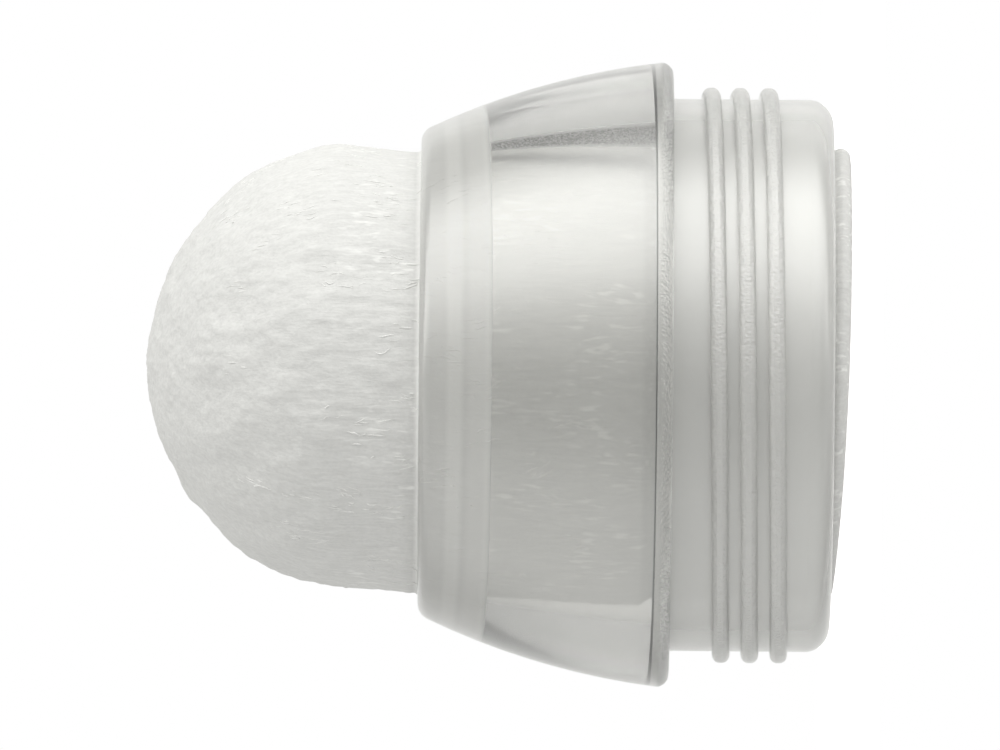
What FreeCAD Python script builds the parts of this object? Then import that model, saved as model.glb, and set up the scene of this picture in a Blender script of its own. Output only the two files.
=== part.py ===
import FreeCAD, Part
import os

import Sketcher

# Screw-in pneumatic muffler. The axis is Z, the fibre dome points up and the threaded end points
# down. The origin is on the axis, at the lowest face of the fibre plug. All sizes are millimetres.
DIMENSIONS = [
    # threaded sleeve
    ("thread_radius", 10.0),
    ("thread_pitch", 1.0),
    ("thread_turns", 3.0),
    ("thread_top_drop", 1.07),
    ("rib_height", 0.4),
    ("rib_width", 0.62),
    ("rib_root_bite", 0.15),
    ("crest_trim", 0.015),
    ("runout_sink", 0.03),
    ("bore_radius", 7.8),
    ("sleeve_drop", 5.57),
    ("sleeve_rim_round", 0.85),
    ("sleeve_lead_in", 0.12),
    # tapered collar
    ("collar_length", 8.74),
    ("collar_rear_radius", 10.9),
    ("collar_front_radius", 8.4),
    ("collar_flank_radius", 26.0),
    ("collar_rear_round", 0.42),
    ("collar_front_round", 0.6),
    ("collar_lead_in", 0.1),
    ("socket_depth", 0.48),
    ("flash_groove_depth", 0.15),
    ("seat_clearance", 0.05),
    ("chamber_rear_radius", 8.7),
    ("chamber_front_radius", 8.05),
    ("land_length", 2.7),
    ("bead_height", 0.2),
    ("bead_width", 0.56),
    ("bead_setback", 1.12),
    # fibre plug
    ("plug_proud", 0.6),
    ("plug_foot_radius", 7.9),
    ("plug_foot_round", 0.35),
    ("plug_neck_radius", 7.7),
    ("plug_neck_length", 2.8),
    ("dome_height", 6.7),
]

SHOULDER = "(dims.plug_proud + dims.sleeve_drop)"
SLEEVE_RADIUS = "(dims.thread_radius - dims.rib_height)"
RIB_PEAK = "(dims.thread_radius + dims.crest_trim)"
SLEEVE_TOP = f"({SHOULDER} + dims.socket_depth)"
COLLAR_TOP = f"({SHOULDER} + dims.collar_length)"
GROOVE_RADIUS = "(dims.thread_radius + dims.seat_clearance)"
GROOVE_TOP = f"({SHOULDER} + dims.flash_groove_depth)"
CHAMBER_TOP = f"({COLLAR_TOP} - dims.land_length)"
BEAD_MIDDLE = f"({COLLAR_TOP} - dims.bead_setback)"
BEAD_LOW = f"({BEAD_MIDDLE} - dims.bead_width / 2)"
BEAD_HIGH = f"({BEAD_MIDDLE} + dims.bead_width / 2)"
BEAD_RADIUS = "(dims.bore_radius - dims.bead_height)"
NECK_TOP = f"({COLLAR_TOP} + dims.plug_neck_length)"
THREAD_TOP = f"({SHOULDER} - dims.thread_top_drop)"
THREAD_BOTTOM = f"({THREAD_TOP} - dims.thread_turns * dims.thread_pitch)"

doc = FreeCAD.newDocument("pneumatic_muffler")


def make_sheet():
    """The driving dimensions, one named cell each."""
    sheet = doc.addObject("Spreadsheet::Sheet", "dims")
    for row, (alias, value) in enumerate(DIMENSIONS, start=1):
        sheet.set(f"A{row}", alias)
        sheet.set(f"B{row}", str(value))
        sheet.setAlias(f"B{row}", alias)
    doc.recompute()
    return sheet


def value_of(expression):
    """What an expression over the sheet's cells comes to, in millimetres."""
    return float(sheet.evalExpression(expression))


def origin_plane(body, role):
    return next(f for f in body.Origin.OriginFeatures if f.Role == role)


def bind(sketch, name, expression, constraint):
    """Add a dimension to a sketch, name it and tie it to the sheet."""
    index = sketch.addConstraint(constraint)
    sketch.renameConstraint(index, name)
    sketch.setExpression(f"Constraints.{name}", expression)


def half_section(body, name, corners, bulges=(), plane="XZ_Plane"):
    """A closed outline in a plane through the axis. A corner is (name, radius, height), and a
    bulge (first corner, radius) bows the side that starts there away from the axis."""
    sketch = body.newObject("Sketcher::SketchObject", name)
    sketch.AttachmentSupport = (origin_plane(body, plane), "")
    sketch.MapMode = "FlatFace"
    points = [FreeCAD.Vector(value_of(r), value_of(z), 0) for _, r, z in corners]
    bulges = dict(bulges)
    for i, (corner, _, _) in enumerate(corners):
        start, end = points[i], points[(i + 1) % len(points)]
        if corner in bulges:
            sketch.addGeometry(bowed_side(start, end, value_of(bulges[corner])), False)
        else:
            sketch.addGeometry(Part.LineSegment(start, end), False)
    for i, (corner, radius, height) in enumerate(corners):
        following = (i + 1) % len(points)
        sketch.addConstraint(Sketcher.Constraint("Coincident", i, 2, following, 1))
        if points[i].x == 0:
            sketch.addConstraint(Sketcher.Constraint("PointOnObject", i, 1, -2))
        else:
            bind(sketch, f"{corner}_r", radius,
                 Sketcher.Constraint("DistanceX", -1, 1, i, 1, points[i].x))
        if points[i].y == 0:
            sketch.addConstraint(Sketcher.Constraint("PointOnObject", i, 1, -1))
        else:
            bind(sketch, f"{corner}_z", height,
                 Sketcher.Constraint("DistanceY", -1, 1, i, 1, points[i].y))
        if corner in bulges:
            bind(sketch, f"{corner}_bow", bulges[corner],
                 Sketcher.Constraint("Radius", i, value_of(bulges[corner])))
    return sketch


def bowed_side(start, end, radius):
    """The arc from start to end, going up, that bows to the side away from the axis."""
    chord = end - start
    middle = start + chord * 0.5
    outward = FreeCAD.Vector(chord.y, -chord.x, 0).normalize()
    sagitta = radius - (radius**2 - chord.Length**2 / 4) ** 0.5
    return Part.Arc(start, middle + outward * sagitta, end)


def revolve(body, sketch, name):
    feature = body.newObject("PartDesign::Revolution", name)
    feature.Profile = sketch
    feature.ReferenceAxis = (sketch, ["V_Axis"])
    feature.Angle = 360
    sketch.Visibility = False
    doc.recompute()
    return feature


def edge_circles(feature, radius, height):
    """Names of the circular edges of a feature that lie at a radius and a height."""
    wanted = (value_of(radius), value_of(height))
    names = []
    for number, edge in enumerate(feature.Shape.Edges, start=1):
        if edge.Curve.TypeId != "Part::GeomCircle":
            continue
        found = (edge.Curve.Radius, edge.Curve.Center.z)
        if all(abs(a - b) < 1e-4 for a, b in zip(wanted, found)):
            names.append(f"Edge{number}")
    return names


def round_rim(body, base, name, radius, height, size):
    """Round the rim of a revolved feature."""
    fillet = body.newObject("PartDesign::Fillet", name)
    fillet.Base = (base, edge_circles(base, radius, height))
    fillet.setExpression("Radius", size)
    doc.recompute()
    return fillet


def make_collar():
    """The flared collar. Its bore holds the fibre plug at the top, a round bead keeps the plug
    from creeping out, and below it a drafted chamber leaves air around the plug. The socket at
    the bottom takes the end of the sleeve. A shallow groove round the socket's mouth catches the
    joint's flash, so the seat face outside it stays flat and clears the thread."""
    body = doc.addObject("PartDesign::Body", "tapered_collar")
    section = half_section(body, "collar_section", [
        ("flank_low", "dims.collar_rear_radius", SHOULDER),
        ("flank_high", "dims.collar_front_radius", COLLAR_TOP),
        ("lip", "dims.bore_radius + dims.collar_lead_in", COLLAR_TOP),
        ("lip_in", "dims.bore_radius", f"{COLLAR_TOP} - dims.collar_lead_in"),
        ("bead_top", "dims.bore_radius", BEAD_HIGH),
        ("bead_crest", BEAD_RADIUS, BEAD_MIDDLE),
        ("bead_foot", "dims.bore_radius", BEAD_LOW),
        ("land_end", "dims.bore_radius", CHAMBER_TOP),
        ("chamber_top", "dims.chamber_front_radius", CHAMBER_TOP),
        ("chamber_low", "dims.chamber_rear_radius", SLEEVE_TOP),
        ("socket_top", SLEEVE_RADIUS, SLEEVE_TOP),
        ("socket_low", SLEEVE_RADIUS, GROOVE_TOP),
        ("groove_top", GROOVE_RADIUS, GROOVE_TOP),
        ("groove_low", GROOVE_RADIUS, SHOULDER),
    ], [("flank_low", "dims.collar_flank_radius")])
    blank = revolve(body, section, "collar_turned")
    rear = round_rim(body, blank, "collar_rear_rounding",
                     "dims.collar_rear_radius", SHOULDER, "dims.collar_rear_round")
    round_rim(body, rear, "collar_front_rounding",
              "dims.collar_front_radius", COLLAR_TOP, "dims.collar_front_round")
    return body


def make_sleeve_tube():
    """The sleeve without its thread: a tube with a well rounded rim."""
    body = doc.addObject("PartDesign::Body", "sleeve_tube")
    rim = "dims.plug_proud"
    section = half_section(body, "sleeve_section", [
        ("rim_out", SLEEVE_RADIUS, rim),
        ("top_out", SLEEVE_RADIUS, SLEEVE_TOP),
        ("top_in", "dims.bore_radius", SLEEVE_TOP),
        ("lead_in", "dims.bore_radius", f"{rim} + dims.sleeve_lead_in"),
        ("rim_in", "dims.bore_radius + dims.sleeve_lead_in", rim),
    ])
    tube = revolve(body, section, "sleeve_turned")
    round_rim(body, tube, "sleeve_rim_rounding", SLEEVE_RADIUS, rim, "dims.sleeve_rim_round")
    return body


def make_rib_section():
    """The round-topped thread form, in the plane through the axis where the thread starts. It
    stands a little too high, because the crest is trimmed to the thread's radius afterwards."""
    sketch = doc.addObject("Sketcher::SketchObject", "rib_section")
    half = value_of("dims.rib_width / 2")
    root = value_of(f"{SLEEVE_RADIUS} - dims.rib_root_bite")
    crest = value_of(RIB_PEAK)
    low_in, low_out = FreeCAD.Vector(root, -half, 0), FreeCAD.Vector(crest - half, -half, 0)
    high_in, high_out = FreeCAD.Vector(root, half, 0), FreeCAD.Vector(crest - half, half, 0)
    sketch.addGeometry(Part.LineSegment(low_in, low_out), False)
    sketch.addGeometry(Part.Arc(low_out, FreeCAD.Vector(crest, 0, 0), high_out), False)
    sketch.addGeometry(Part.LineSegment(high_out, high_in), False)
    sketch.addGeometry(Part.LineSegment(high_in, low_in), False)
    sketch.addConstraint([
        Sketcher.Constraint("Tangent", 0, 2, 1, 1),
        Sketcher.Constraint("Tangent", 1, 2, 2, 1),
        Sketcher.Constraint("Coincident", 2, 2, 3, 1),
        Sketcher.Constraint("Coincident", 3, 2, 0, 1),
        Sketcher.Constraint("Horizontal", 0),
        Sketcher.Constraint("Vertical", 3),
        Sketcher.Constraint("PointOnObject", 1, 3, -1),
    ])
    bind(sketch, "crest_round", "dims.rib_width / 2", Sketcher.Constraint("Radius", 1, half))
    bind(sketch, "crest_middle", f"{RIB_PEAK} - dims.rib_width / 2",
         Sketcher.Constraint("DistanceX", -1, 1, 1, 3, crest - half))
    bind(sketch, "root", f"{SLEEVE_RADIUS} - dims.rib_root_bite",
         Sketcher.Constraint("DistanceX", -1, 1, 0, 1, root))
    return sketch


def make_thread():
    """The raised helical rib, with a narrow cylindrical land along its crest. Both ends lie on
    the +Y side, where a flat fades each of them into the tube."""
    section = make_rib_section()
    section.Placement.Rotation = FreeCAD.Rotation(FreeCAD.Vector(1, 1, 1), 120)
    section.setExpression(".Placement.Base.z", THREAD_BOTTOM)

    path = doc.addObject("Part::Helix", "thread_path")
    path.LocalCoord = "Right-handed"
    path.setExpression("Radius", SLEEVE_RADIUS)
    path.setExpression("Pitch", "dims.thread_pitch")
    path.setExpression("Height", "dims.thread_turns * dims.thread_pitch")
    path.Placement.Rotation = FreeCAD.Rotation(FreeCAD.Vector(0, 0, 1), 90)
    path.setExpression(".Placement.Base.z", THREAD_BOTTOM)

    rib = doc.addObject("Part::Sweep", "thread_rib")
    rib.Sections = [section]
    rib.Spine = path
    rib.Solid = True
    rib.Frenet = True

    low = combine("Part::Cut", "rib_low_faded", rib, runout_block("runout_low", THREAD_BOTTOM))
    return combine("Part::Cut", "rib_faded", low, runout_block("runout_high", THREAD_TOP))


def runout_block(name, height):
    """A block one pitch high whose inner side is the flat that a thread end fades along."""
    block = doc.addObject("Part::Box", name)
    block.setExpression("Length", "dims.thread_radius")
    block.setExpression("Width", "dims.rib_height * 4")
    block.setExpression("Height", "dims.thread_pitch")
    block.setExpression(".Placement.Base.x", "-dims.thread_radius / 2")
    block.setExpression(".Placement.Base.y", f"{SLEEVE_RADIUS} - dims.runout_sink")
    block.setExpression(".Placement.Base.z", f"{height} - dims.thread_pitch / 2")
    return block


def combine(kind, name, first, second):
    """A boolean of two shapes."""
    result = doc.addObject(kind, name)
    result.Base, result.Tool = first, second
    return result


def make_sleeve():
    """The threaded sleeve: tube and thread in one moulding, trimmed to the thread's radius."""
    blank = combine("Part::Fuse", "sleeve_blank", make_sleeve_tube(), make_thread())
    envelope = doc.addObject("Part::Cylinder", "thread_envelope")
    envelope.setExpression("Radius", "dims.thread_radius")
    envelope.setExpression("Height", COLLAR_TOP)
    return combine("Part::Common", "threaded_sleeve", blank, envelope)


def make_plug():
    """The plug of crimped fibre: a foot that swells below the sleeve, a straight length in the
    bore, nipped by the bead, and a domed nose above the collar."""
    body = doc.addObject("PartDesign::Body", "fibre_plug")
    section = half_section(body, "plug_section", [
        ("foot_middle", "0", "0"),
        ("foot", "dims.plug_foot_radius", "0"),
        ("foot_top", "dims.plug_foot_radius", "dims.plug_proud"),
        ("rim", "dims.bore_radius + dims.sleeve_lead_in", "dims.plug_proud"),
        ("bore_low", "dims.bore_radius", "dims.plug_proud + dims.sleeve_lead_in"),
        ("bead_foot", "dims.bore_radius", BEAD_LOW),
        ("bead_crest", BEAD_RADIUS, BEAD_MIDDLE),
        ("bead_top", "dims.bore_radius", BEAD_HIGH),
        ("bore_high", "dims.bore_radius", f"{COLLAR_TOP} - dims.collar_lead_in"),
        ("neck_low", "dims.plug_neck_radius", COLLAR_TOP),
        ("neck_high", "dims.plug_neck_radius", NECK_TOP),
        ("neck_middle", "0", NECK_TOP),
    ])
    shaft = revolve(body, section, "plug_turned")
    round_rim(body, shaft, "foot_rounding", "dims.plug_foot_radius", "0",
              "dims.plug_foot_round")
    dome = body.newObject("PartDesign::AdditiveEllipsoid", "plug_dome")
    dome.setExpression("Radius1", "dims.dome_height")
    dome.setExpression("Radius2", "dims.plug_neck_radius")
    dome.setExpression("Radius3", "dims.plug_neck_radius")
    dome.Angle1, dome.Angle2 = 0, 90
    dome.setExpression(".Placement.Base.z", NECK_TOP)
    doc.recompute()
    return body


def check_and_write(sub_parts):
    """Refuse a failed or invalid model, then write one STEP file for each sub-part."""
    doc.recompute()
    failed = [o.Label for o in doc.Objects if {"Invalid", "Error"} & set(o.State)]
    if failed:
        raise RuntimeError(f"did not build: {failed}")
    for part in sub_parts:
        if part.Shape.isNull() or not part.Shape.isValid() or len(part.Shape.Solids) != 1:
            raise RuntimeError(f"{part.Label} is not one valid solid")
    os.makedirs("parts", exist_ok=True)
    for part in sub_parts:
        part.Shape.exportStep(f"parts/{part.Label}.step")
        box = part.Shape.optimalBoundingBox(False)
        print(f"{part.Label}: {part.Shape.Volume:.1f} mm3, "
              f"z {box.ZMin:.2f} to {box.ZMax:.2f}, {box.XLength:.2f} x {box.YLength:.2f}")


sheet = make_sheet()
check_and_write([make_collar(), make_sleeve(), make_plug()])
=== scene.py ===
import math

import bpy
import numpy as np
from mathutils import Matrix, Vector


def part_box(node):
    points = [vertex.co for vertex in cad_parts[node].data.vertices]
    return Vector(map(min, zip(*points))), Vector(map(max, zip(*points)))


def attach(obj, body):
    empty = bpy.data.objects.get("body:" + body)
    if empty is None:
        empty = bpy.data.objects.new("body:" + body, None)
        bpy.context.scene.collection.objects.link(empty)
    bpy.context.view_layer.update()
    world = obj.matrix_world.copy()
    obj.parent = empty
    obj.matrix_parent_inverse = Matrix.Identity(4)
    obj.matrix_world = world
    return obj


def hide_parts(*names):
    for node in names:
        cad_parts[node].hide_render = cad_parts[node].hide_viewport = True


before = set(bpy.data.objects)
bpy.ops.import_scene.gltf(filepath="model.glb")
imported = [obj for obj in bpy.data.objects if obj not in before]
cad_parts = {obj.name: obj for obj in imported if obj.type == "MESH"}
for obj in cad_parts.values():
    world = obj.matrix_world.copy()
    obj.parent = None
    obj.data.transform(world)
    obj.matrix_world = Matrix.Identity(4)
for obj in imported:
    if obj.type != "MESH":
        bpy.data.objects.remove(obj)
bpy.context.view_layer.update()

MM = 0.001
BODY = "root"
WHITE = (1, 1, 1, 1)

# Heights and radii that come from the frame.
COLLAR_LOW, COLLAR_TOP = (corner.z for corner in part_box("tapered_collar"))
SLEEVE_LOW, SLEEVE_TOP = (corner.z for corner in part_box("threaded_sleeve"))
THREAD_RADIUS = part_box("threaded_sleeve")[1].x
FOOT_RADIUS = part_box("fibre_plug")[1].x
DOME_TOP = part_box("fibre_plug")[1].z

# The space inside the collar, as in the CAD. The chamber's radius is the one at its low end.
BORE_RADIUS = 7.8 * MM
CHAMBER_RADIUS = 8.7 * MM
CHAMBER_LOW = SLEEVE_TOP
CHAMBER_TOP = COLLAR_TOP - 2.7 * MM
BEAD = COLLAR_TOP - 1.12 * MM

# The plastic, and how strong its grain is on the collar's rear edge, on the ribs and elsewhere.
PLASTIC_IOR = 1.49
PLASTIC_TINT = (1, 1, 0.98, 1)
COLLAR_CLEAR, SLEEVE_CLEAR = 0.95, 0.62
EDGE_GRAIN, RIB_GRAIN, WALL_GRAIN = 1.3, 0.85, 0.01

# The painted shade: a dark streak painted on the chamber's wall for the shade in the gap under it,
# in degrees round the axis.
# Each pair is its size at the chamber's low end, and what is added to that by the chamber's top.
PAINTED_SHADE_MIDDLE = (58.6, 4.6)
PAINTED_SHADE_HALF = (4.6, -2.6)
PAINTED_SHADE_GREY = (0.06, 0.06, 0.06, 1)

# The fibre. Its blue is a little lower than its red and green.
FIBRE_BLUE = 0.985
FIBRE_WHITEST = (0.97, 0.97, 0.955, 1)
PLUG_TONES = (0.7, 0.8)
STRAND_TONES = (0.82, 0.93)

# How much whiter the fibre is made, by height over the bead in mm: partly where the collar
# squeezes it, and partly painted highlights of the lip's front edge and of the bead seen through
# the collar.
SQUEEZE_AND_HIGHLIGHTS = ((-1.65, 0), (-1.45, 0.95), (-1.3, 0.75), (-0.9, 0.75), (-0.65, 0.45), (-0.45, 1),
           (-0.1, 1), (0.1, 0.5), (0.6, 0.55), (0.8, 1), (1.0, 1), (1.3, 0))

# The plug's outline, where it is finer than its CAD solid.
FACE_SIZE = 0.1 * MM
FOOT_STEPS, DOME_STEPS = 8, 60
BORE_GAP = 0.05 * MM
LAND_PRESS = 0.03 * MM
SWELL_LOW, SWELL_TOP = 0.22 * MM, 0.05 * MM
NECK_RADIUS = 7.66 * MM
FOOT_ROUND = 0.35 * MM
DOME_HEIGHT = 6.7 * MM
DOME_POWER = 1.85

# The foot's slant and the lean of the dome, both across the axis along X.
FOOT_SLANT = 0.55 * MM
SLANT_CURVE = 2.6
SLANT_REACH = 2 * MM
LEAN = 0.25 * MM
LEAN_REACH = 3.5 * MM

# The small flats that scissors leave on the dome.
SNIPS = 70
SNIP_DEPTH = 0.1 * MM
SNIP_SEED = 5

# The relief of the plug: each noise's cell size in mm along X, Y and Z, and its seed.
TUFTS = ((0.9, 0.9, 1.6), 1)
STRANDS = ((0.22, 0.22, 1.3), 2)
FELT = ((0.25, 0.25, 0.25), 3)

# The loose strands.
STRAND_SEED = 11
STRAND_GROUPS = 260
STRAND_STEPS, STRAND_SIDES = 10, 5
STRAND_LENGTH = (0.2, 0.8)
STRAND_THICK = (0.012, 0.035)

# The light: its level by degrees round the axis, from the camera's side (0) up over the part
# (90) to behind it (180). A bright overhead softbox, a white table below, and dark between.
STUDIO = ((-180, 0.84), (-150, 0.64), (-125, 0.5), (-95, 0.88), (-55, 0.85), (-20, 0.5),
          (0, 0.45), (25, 0.85), (50, 1.85), (80, 2.2), (97, 1.3), (108, 0.5), (130, 0.56),
          (147, 0.92), (180, 0.84))
STUDIO_BLUE = 0.975
BEHIND_FOOT = 0.65
FLOOR_RADIUS = 60 * MM
FLOOR_GREY = (0.8, 0.8, 0.8, 1)
FLOOR_GLOW = 0.88

# The camera. Its sensor is in mm, as Blender has it; the aim is off the axis and over COLLAR_LOW.
CAMERA_DISTANCE = 0.68
CAMERA_FIELD = 34.78 * MM
CAMERA_SENSOR = 36
CAMERA_ROLL = math.radians(0.5)
CAMERA_AIM = (-0.06 * MM, 5.94 * MM)


# ---------------------------------------------------------------- node helpers

def new_material(name):
    """A material whose tree holds only its output node."""
    material = bpy.data.materials.new(name)
    material.use_nodes = True
    tree = material.node_tree
    tree.nodes.clear()
    return material, tree, tree.nodes.new("ShaderNodeOutputMaterial")


def node(tree, kind, **settings):
    """A new node. A setting is one of its properties, or else an input's value by its label."""
    made = tree.nodes.new(kind)
    for key, value in settings.items():
        if hasattr(made, key):
            setattr(made, key, value)
        else:
            made.inputs[key.replace("_", " ")].default_value = value
    return made


def link(tree, source, target):
    tree.links.new(source, target)


def calculate(tree, operation, *values):
    """The result of a Math node on sockets and numbers."""
    made = node(tree, "ShaderNodeMath", operation=operation)
    for place, value in zip(made.inputs, values):
        if isinstance(value, bpy.types.NodeSocket):
            link(tree, value, place)
        else:
            place.default_value = value
    return made.outputs[0]


def spread(tree, value, from_low, from_high, low, high, way="SMOOTHSTEP"):
    """A value taken from one range to another."""
    span = node(tree, "ShaderNodeMapRange", interpolation_type=way)
    for label, level in (("From Min", from_low), ("From Max", from_high),
                         ("To Min", low), ("To Max", high)):
        span.inputs[label].default_value = level
    link(tree, value, span.inputs["Value"])
    return span.outputs["Result"]


def product(tree, first, *others):
    """The product of two or more values."""
    for other in others:
        first = calculate(tree, "MULTIPLY", first, other)
    return first


def coordinates(tree, kind):
    """X, Y and Z: of the object's point, or in a world's tree of the direction."""
    place = node(tree, "ShaderNodeTexCoord")
    split = node(tree, "ShaderNodeSeparateXYZ")
    link(tree, place.outputs[kind], split.inputs[0])
    return [split.outputs[axis] for axis in "XYZ"]


def off_axis(tree, x, y):
    """The distance from the axis."""
    return calculate(tree, "SQRT", calculate(
        tree, "ADD", calculate(tree, "MULTIPLY", x, x), calculate(tree, "MULTIPLY", y, y)))


def round_axis(tree, x, y):
    """The angle round the axis: 0 on the camera's side and a quarter turn up over the part."""
    return calculate(tree, "ARCTAN2", x, calculate(tree, "MULTIPLY", y, -1))


def ramp(tree, value, stops):
    """The colour that a value has on a colour ramp. A stop is a position and a colour."""
    made = node(tree, "ShaderNodeValToRGB")
    link(tree, value, made.inputs[0])
    elements = made.color_ramp.elements
    while len(elements) < len(stops):
        elements.new(0.5)
    for element, (position, color) in zip(elements, stops):
        element.position, element.color = position, color
    return made.outputs[0]


def grey(level, blue=1):
    """A grey, or a colour whose blue is a share of its red and green."""
    return level, level, blue * level, 1


def grain(tree, across, along, detail=2.0, warp=0.0):
    """Noise whose cells have one size across the axis and another along it."""
    place = node(tree, "ShaderNodeTexCoord")
    mapping = node(tree, "ShaderNodeMapping", Scale=(1 / across, 1 / across, 1 / along))
    noise = node(tree, "ShaderNodeTexNoise", Scale=1.0, Detail=detail, Distortion=warp)
    link(tree, place.outputs["Object"], mapping.inputs["Vector"])
    link(tree, mapping.outputs["Vector"], noise.inputs["Vector"])
    return noise.outputs["Fac"]


def bump(tree, height, depth):
    """A normal from a height that is a share of depth."""
    made = node(tree, "ShaderNodeBump", Distance=depth, Strength=1.0)
    link(tree, height, made.inputs["Height"])
    return made.outputs["Normal"]


# ------------------------------------------------------------------- materials

def milky_plastic(name, clear):
    """Natural moulded polypropylene: clear enough to show the fibres, a little cloudy, with a
    broad soft gloss. The collar's rear edge and the ribs of the thread have a grain."""
    material, tree, out = new_material(name)
    shader = node(tree, "ShaderNodeBsdfPrincipled", Base_Color=PLASTIC_TINT, IOR=PLASTIC_IOR,
                  Transmission_Weight=clear, Coat_Weight=1.0, Coat_IOR=2.3, Coat_Roughness=0.27)
    haze = grain(tree, 1.2 * MM, 1.2 * MM, detail=3)
    link(tree, spread(tree, haze, 0.3, 0.7, 0.04, 0.08), shader.inputs["Roughness"])

    x, y, z = coordinates(tree, "Object")
    radius = off_axis(tree, x, y)
    on_edge = calculate(
        tree, "MULTIPLY",
        spread(tree, z, COLLAR_LOW + 0.35 * MM, COLLAR_LOW + 0.5 * MM, EDGE_GRAIN, 0),
        spread(tree, radius, THREAD_RADIUS, THREAD_RADIUS + 0.1 * MM, 0, 1))
    on_rib = calculate(
        tree, "MULTIPLY",
        spread(tree, z, COLLAR_LOW - 0.3 * MM, COLLAR_LOW, 1, 0),
        spread(tree, radius, THREAD_RADIUS - 0.35 * MM, THREAD_RADIUS - 0.1 * MM, 0, RIB_GRAIN))
    rough = calculate(tree, "ADD", calculate(tree, "ADD", on_edge, on_rib), WALL_GRAIN)
    height = calculate(tree, "MULTIPLY", grain(tree, 0.1 * MM, 0.12 * MM), rough)
    normal = bump(tree, height, 0.05 * MM)
    link(tree, normal, shader.inputs["Normal"])
    link(tree, normal, shader.inputs["Coat Normal"])
    link(tree, shader.outputs[0], out.inputs["Surface"])
    return material


def add_painted_shade_streak(material):
    """Painted shade: a dark grainy streak painted along one side of the collar's chamber, standing
    in for the shade in the gap there. The plastic there is grey and lets no light through."""
    tree = material.node_tree
    x, y, z = coordinates(tree, "Object")
    rise = calculate(tree, "DIVIDE", calculate(tree, "SUBTRACT", z, CHAMBER_LOW),
                     CHAMBER_TOP - CHAMBER_LOW)
    middle, half = (
        calculate(tree, "MULTIPLY_ADD", rise, math.radians(added), math.radians(at_low_end))
        for at_low_end, added in (PAINTED_SHADE_MIDDLE, PAINTED_SHADE_HALF))
    off = calculate(tree, "DIVIDE", calculate(tree, "ABSOLUTE", calculate(
        tree, "SUBTRACT", round_axis(tree, x, y), middle)), half)
    # The painted shade is darkest in a grainy strip at one turn round the axis, inside the
    # chamber.
    painted_shade = product(
        tree,
        spread(tree, grain(tree, 0.06 * MM, 0.07 * MM, detail=3), 0.35, 0.6, 0.65, 1),
        spread(tree, off, 0.55, 1.2, 1, 0),
        spread(tree, off_axis(tree, x, y), CHAMBER_RADIUS + 0.1 * MM, CHAMBER_RADIUS + 0.2 * MM,
               1, 0),
        spread(tree, z, CHAMBER_TOP - 0.05 * MM, CHAMBER_TOP, 1, 0))
    shader = tree.nodes["Principled BSDF"]
    link(tree, ramp(tree, painted_shade, ((0, PLASTIC_TINT), (1, PAINTED_SHADE_GREY))),
         shader.inputs["Base Color"])
    most = shader.inputs["Transmission Weight"].default_value
    link(tree, spread(tree, painted_shade, 0, 0.9, most, 0), shader.inputs["Transmission Weight"])


def whiter_and_highlight_share(tree):
    """How much whiter the fibre is: in flecks, most of them near the collar, and all round under
    the collar in bands that are partly where the collar squeezes it and partly painted highlights
    of the lip's front edge and the bead."""
    z = coordinates(tree, "Object")[2]
    flecks = product(
        tree,
        spread(tree, grain(tree, 0.16 * MM, 0.7 * MM, detail=1), 0.56, 0.7, 0, 1),
        spread(tree, grain(tree, 2.2 * MM, 2.6 * MM, detail=1), 0.45, 0.58, 0.1, 1),
        spread(tree, z, COLLAR_TOP, COLLAR_TOP + 4.5 * MM, 0.75, 0.1))
    low, high = SQUEEZE_AND_HIGHLIGHTS[0][0] * MM, SQUEEZE_AND_HIGHLIGHTS[-1][0] * MM
    over_bead = spread(tree, z, BEAD + low, BEAD + high, 0, 1, way="LINEAR")
    # Bands of painted highlight under the lip's edge and the bead, together with the whiter fibre
    # where it is squeezed.
    squeeze_and_highlights = ramp(tree, over_bead, [((over * MM - low) / (high - low), grey(share))
                                     for over, share in SQUEEZE_AND_HIGHLIGHTS])
    return calculate(tree, "MAXIMUM", squeeze_and_highlights, flecks)


def white_fibre(name, low, high):
    """Matted white fibre: strands run along the axis through a fine felt."""
    material, tree, out = new_material(name)
    shader = node(tree, "ShaderNodeBsdfPrincipled", Roughness=0.75, Specular_IOR_Level=0.3)
    strands = grain(tree, 0.13 * MM, 0.9 * MM, detail=3, warp=0.5)
    felt = grain(tree, 0.09 * MM, 0.13 * MM)
    height = calculate(tree, "ADD", calculate(tree, "MULTIPLY", strands, 0.6),
                       calculate(tree, "MULTIPLY", felt, 0.4))
    tone = ramp(tree, height, ((0.35, grey(low, FIBRE_BLUE)), (0.68, grey(high, FIBRE_BLUE))))

    # A Mix node's two colours are its inputs 6 and 7, and its colour output is 2.
    mix = node(tree, "ShaderNodeMix", data_type="RGBA")
    # The whiter share brings in the flecks and the painted highlight bands under the collar.
    link(tree, whiter_and_highlight_share(tree), mix.inputs[0])
    link(tree, tone, mix.inputs[6])
    mix.inputs[7].default_value = FIBRE_WHITEST
    link(tree, mix.outputs[2], shader.inputs["Base Color"])
    link(tree, bump(tree, height, 0.03 * MM), shader.inputs["Normal"])
    link(tree, shader.outputs[0], out.inputs["Surface"])
    return material


# --------------------------------------------------------------- the fibre plug

def smooth_noise(points, cell, seed):
    """Noise from -1 to 1 at each point, over cells with the given size in mm along X, Y and Z."""
    size = 64
    table = np.random.default_rng(seed).uniform(-1, 1, (size, size, size))
    place = points / (np.array(cell) * MM)
    low = np.floor(place).astype(int)
    part = place - low
    part = part * part * (3 - 2 * part)
    total = 0
    for corner in np.ndindex(2, 2, 2):
        weight = np.prod(np.where(corner, part, 1 - part), axis=-1)
        near = (low + corner) % size
        total = total + weight * table[near[..., 0], near[..., 1], near[..., 2]]
    return total


def ease(value, low, high):
    """0 below low, 1 above high, and a smooth step between."""
    part = np.clip((value - low) / (high - low), 0, 1)
    return part * part * (3 - 2 * part)


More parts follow.
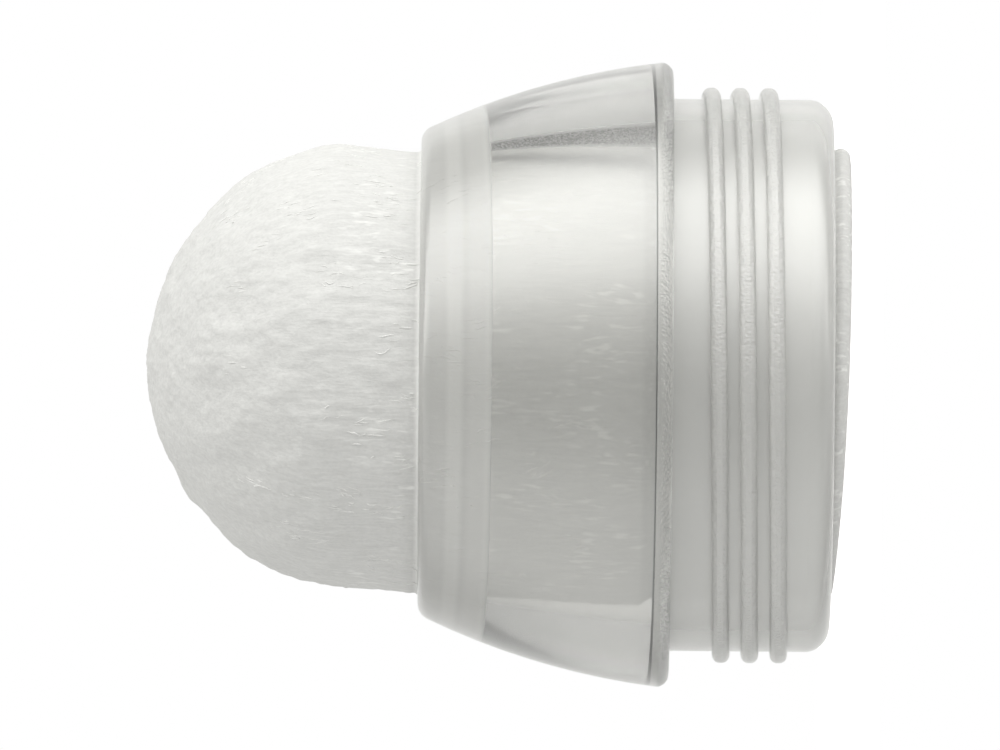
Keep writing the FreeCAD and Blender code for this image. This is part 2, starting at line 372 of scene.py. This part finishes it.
def plug_outline():
    """Radius and height at even steps along the plug's outline, from the middle of its foot to
    the tip of its dome."""
    points = [(0, 0)]
    for turn in np.linspace(0, math.pi / 2, FOOT_STEPS):
        points.append((FOOT_RADIUS - FOOT_ROUND * (1 - math.sin(turn)),
                       FOOT_ROUND * (1 - math.cos(turn))))
    points += [
        (BORE_RADIUS - BORE_GAP, SLEEVE_LOW + 0.2 * MM),
        (BORE_RADIUS - BORE_GAP, CHAMBER_LOW),
        (BORE_RADIUS + SWELL_LOW, CHAMBER_LOW + 0.4 * MM),
        (BORE_RADIUS + SWELL_TOP, CHAMBER_TOP),
        (BORE_RADIUS + LAND_PRESS, CHAMBER_TOP + 0.3 * MM),
        (BORE_RADIUS + LAND_PRESS, COLLAR_TOP - 0.12 * MM),
        (NECK_RADIUS, COLLAR_TOP + 0.08 * MM)]
    base = DOME_TOP - DOME_HEIGHT
    for turn in np.linspace(0, math.pi / 2, DOME_STEPS):
        points.append((NECK_RADIUS * abs(math.cos(turn)) ** (2 / DOME_POWER),
                       base + DOME_HEIGHT * math.sin(turn) ** (2 / DOME_POWER)))
    points = np.array(points)
    run = np.r_[0, np.cumsum(np.hypot(*np.diff(points, axis=0).T))]
    even = np.linspace(0, run[-1], round(run[-1] / FACE_SIZE))
    return np.interp(even, run, points[:, 0]), np.interp(even, run, points[:, 1])


def snipped(points):
    """The dome as scissors leave it, with many small flats."""
    rng = np.random.default_rng(SNIP_SEED)
    centre = np.array([0, 0, DOME_TOP - DOME_HEIGHT])
    golden_angle = math.pi * (3 - math.sqrt(5))
    arm = points - centre
    dome = arm[..., 2] > 0
    for snip in range(SNIPS):
        rise, turn = (snip + 0.5) / SNIPS, snip * golden_angle
        across = math.sqrt(1 - rise ** 2)
        flat = np.array([across * math.cos(turn), across * math.sin(turn), rise])
        reach = arm @ flat
        limit = reach.max() - SNIP_DEPTH * rng.uniform(0.1, 1)
        beyond = dome & (reach > limit)
        arm[beyond] *= (limit / reach[beyond])[:, None]
    return centre + arm


def plug_surface():
    """The plug's surface as a grid of points, from foot to tip and round the axis, and the
    outward direction at each."""
    radius, height = plug_outline()
    columns = round(2 * math.pi * BORE_RADIUS / FACE_SIZE)
    angle = np.linspace(0, 2 * math.pi, columns, endpoint=False)
    around = np.stack([np.cos(angle), np.sin(angle), 0 * angle], axis=-1)
    upward = np.array([0, 0, 1])
    points = snipped(radius[:, None, None] * around + height[:, None, None] * upward)

    slope_r, slope_z = np.gradient(radius), np.gradient(height)
    slope = np.hypot(slope_r, slope_z)
    outward = ((slope_z / slope)[:, None, None] * around
               - (slope_r / slope)[:, None, None] * upward)

    # The relief is full on the dome, partial in the chamber and faint where the bore holds it.
    z = points[..., 2]
    in_chamber = (ease(z, CHAMBER_LOW, CHAMBER_LOW + 1 * MM)
                  * ease(-z, -CHAMBER_TOP, 1 * MM - CHAMBER_TOP))
    free = ease(z, COLLAR_TOP, COLLAR_TOP + 1 * MM) + 0.3 * in_chamber
    tufts, strands, felt = (smooth_noise(points, *kind) for kind in (TUFTS, STRANDS, FELT))
    rise = free * (0.07 * tufts + 0.02 * felt) + (0.02 + 0.012 * free) * strands
    points = points + outward * (rise * MM)[..., None]

    points[..., 0] += LEAN * ease(z, COLLAR_TOP - 0.1 * MM, COLLAR_TOP + LEAN_REACH)
    across = np.clip((1 - points[..., 0] / FOOT_RADIUS) / 2, 0, 1)
    slant = FOOT_SLANT * across ** SLANT_CURVE * (1 - ease(z, 0, SLANT_REACH))
    points[..., 2] = np.maximum(points[..., 2], 0) + slant
    return points, outward


def mesh_piece(name, points, faces, material):
    """A smooth mesh object that stands for the CAD plug."""
    mesh = bpy.data.meshes.new(name)
    mesh.from_pydata(points.tolist(), [], faces)
    mesh.polygons.foreach_set("use_smooth", [True] * len(mesh.polygons))
    mesh.materials.append(material)
    piece = bpy.data.objects.new(name, mesh)
    bpy.context.scene.collection.objects.link(piece)
    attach(piece, BODY)
    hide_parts("fibre_plug")
    return piece


def grid_faces(rows, columns, start=0):
    """Quads between the rings of a grid that closes on itself round its columns."""
    index = start + np.arange(rows * columns).reshape(rows, columns)
    after = np.roll(index, -1, axis=1)
    quads = np.stack([index[:-1], after[:-1], after[1:], index[1:]], axis=-1)
    return quads.reshape(-1, 4).tolist()


def fibre_bundle(surface, material):
    """The body of the plug: one closed mesh with a fan of faces at each end."""
    rings = surface[1:-1]
    rows, columns = rings.shape[:2]
    foot, tip = rows * columns, rows * columns + 1
    points = np.vstack([rings.reshape(-1, 3), surface[0].mean(axis=0), surface[-1].mean(axis=0)])
    faces = grid_faces(rows, columns)
    last = foot - columns
    for column in range(columns):
        after = (column + 1) % columns
        faces.append((foot, after, column))
        faces.append((tip, last + column, last + after))
    piece = mesh_piece("fibre_bundle", points, faces, material)


def strand_rings(spine, away, thick):
    """Rings of points round a thin strand along a spine, thinner towards its ends."""
    run = np.gradient(spine, axis=0)
    side = np.cross(run / np.linalg.norm(run, axis=1, keepdims=True), away)
    taper = thick * np.sin(np.linspace(0.15, math.pi - 0.15, len(spine)))[:, None]
    turns = np.linspace(0, 2 * math.pi, STRAND_SIDES, endpoint=False)
    rings = [spine + taper * (side * math.cos(turn) + away * math.sin(turn)) for turn in turns]
    return np.stack(rings, axis=1).reshape(-1, 3)


def loose_strands(surface, outward, material):
    """Crimped strands that lie half sunk along the plug, in loose groups."""
    rng = np.random.default_rng(STRAND_SEED)
    rows, columns = surface.shape[:2]
    first = np.argmax(surface[:, 0, 2] > COLLAR_LOW)
    last = np.argmax(surface[:, 0, 2] > DOME_TOP - 2 * MM)
    points, faces = [], []
    for _ in range(STRAND_GROUPS):
        home_row = rng.triangular(first, 0.6 * first + 0.4 * last, last)
        home_column = rng.uniform(0, columns)
        lie = rng.normal(0, 0.2)
        for _ in range(rng.integers(3, 9)):
            length = rng.uniform(*STRAND_LENGTH) * MM / FACE_SIZE
            thick = rng.uniform(*STRAND_THICK) * MM
            along = np.linspace(-0.5, 0.5, STRAND_STEPS) * length
            crimp = rng.uniform(0, 0.8) * np.sin(along * rng.uniform(0.3, 0.7) + rng.uniform(0, 6))
            row = np.clip(home_row + rng.normal(0, 4) + along, 1, rows - 2)
            column = home_column + rng.normal(0, 2.5) + lie * along + crimp
            at = (np.rint(row).astype(int), np.rint(column).astype(int) % columns)
            spine, away = surface[at], outward[at]
            spine = (spine[:-2] + spine[1:-1] + spine[2:]) / 3
            start = len(points)
            points.extend(strand_rings(spine, away[1:-1], thick))
            faces += grid_faces(len(spine), STRAND_SIDES, start)
            faces.append(list(range(start, start + STRAND_SIDES))[::-1])
            faces.append(list(range(len(points) - STRAND_SIDES, len(points))))
    mesh_piece("loose_strands", np.array(points), faces, material)


# ------------------------------------------------------- floor, lights, camera

def camera_sees(tree, seen, lit):
    """One shader for the camera and another for the light that reaches everything else."""
    path = node(tree, "ShaderNodeLightPath")
    mix = node(tree, "ShaderNodeMixShader")
    link(tree, path.outputs["Is Camera Ray"], mix.inputs[0])
    link(tree, lit.outputs[0], mix.inputs[1])
    link(tree, seen.outputs[0], mix.inputs[2])
    return mix.outputs[0]


def add_floor():
    """A pale floor under the part, as white as the backdrop. Light passes up through it, as it
    does through a light table."""
    bpy.ops.mesh.primitive_circle_add(vertices=96, radius=FLOOR_RADIUS, fill_type="NGON")
    floor = bpy.context.object
    floor.name = "floor"
    material, tree, out = new_material("pale_floor")
    lit = node(tree, "ShaderNodeBsdfTransparent")
    seen = node(tree, "ShaderNodeAddShader")
    matt = node(tree, "ShaderNodeBsdfDiffuse", Color=FLOOR_GREY)
    glow = node(tree, "ShaderNodeEmission", Strength=FLOOR_GLOW)
    link(tree, matt.outputs[0], seen.inputs[0])
    link(tree, glow.outputs[0], seen.inputs[1])
    link(tree, camera_sees(tree, seen, lit), out.inputs["Surface"])
    floor.data.materials.append(material)


def add_studio():
    """A white backdrop for the camera, and for everything else the studio's light: its level
    changes with the turn round the axis, and is lower from behind the foot."""
    world = bpy.data.worlds.new("studio")
    bpy.context.scene.world = world
    world.use_nodes = True
    tree = world.node_tree
    tree.nodes.clear()
    x, y, z = coordinates(tree, "Generated")
    turn = calculate(tree, "MULTIPLY_ADD", round_axis(tree, x, y), 1 / (2 * math.pi), 0.5)
    levels = ramp(tree, turn, [(degrees / 360 + 0.5, grey(level, STUDIO_BLUE))
                               for degrees, level in STUDIO])
    lit = node(tree, "ShaderNodeBackground")
    link(tree, levels, lit.inputs["Color"])
    link(tree, spread(tree, z, -0.95, -0.35, BEHIND_FOOT, 1), lit.inputs["Strength"])
    seen = node(tree, "ShaderNodeBackground", Color=WHITE)
    out = node(tree, "ShaderNodeOutputWorld")
    link(tree, camera_sees(tree, seen, lit), out.inputs["Surface"])


def add_camera():
    """A long lens square to the axis, turned on its side so that the dome points left."""
    data = bpy.data.cameras.new("camera")
    data.sensor_width = CAMERA_SENSOR
    data.lens = CAMERA_SENSOR * CAMERA_DISTANCE / CAMERA_FIELD
    data.clip_start, data.clip_end = 0.05, 5
    camera = bpy.data.objects.new("camera", data)
    along, above, back = Vector((0, 0, -1)), Vector((1, 0, 0)), Vector((0, -1, 0))
    right = along * math.cos(CAMERA_ROLL) + above * math.sin(CAMERA_ROLL)
    up = above * math.cos(CAMERA_ROLL) - along * math.sin(CAMERA_ROLL)
    aim = Vector((CAMERA_AIM[0], 0, COLLAR_LOW + CAMERA_AIM[1]))
    turn = Matrix((right, up, back)).transposed().to_4x4()
    camera.matrix_world = Matrix.Translation(aim + back * CAMERA_DISTANCE) @ turn
    bpy.context.scene.collection.objects.link(camera)
    bpy.context.scene.camera = camera


# ------------------------------------------------------------------------ scene

for name, clear in (("tapered_collar", COLLAR_CLEAR), ("threaded_sleeve", SLEEVE_CLEAR)):
    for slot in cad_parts[name].material_slots:
        slot.material = milky_plastic(name + "_plastic", clear)
# The collar's chamber gets a streak of painted shade.
add_painted_shade_streak(bpy.data.materials["tapered_collar_plastic"])

surface, outward = plug_surface()
fibre_bundle(surface, white_fibre("white_fibre", *PLUG_TONES))
loose_strands(surface, outward, white_fibre("bright_strands", *STRAND_TONES))

add_floor()
add_studio()
add_camera()
bpy.context.scene.view_settings.view_transform = "Standard"
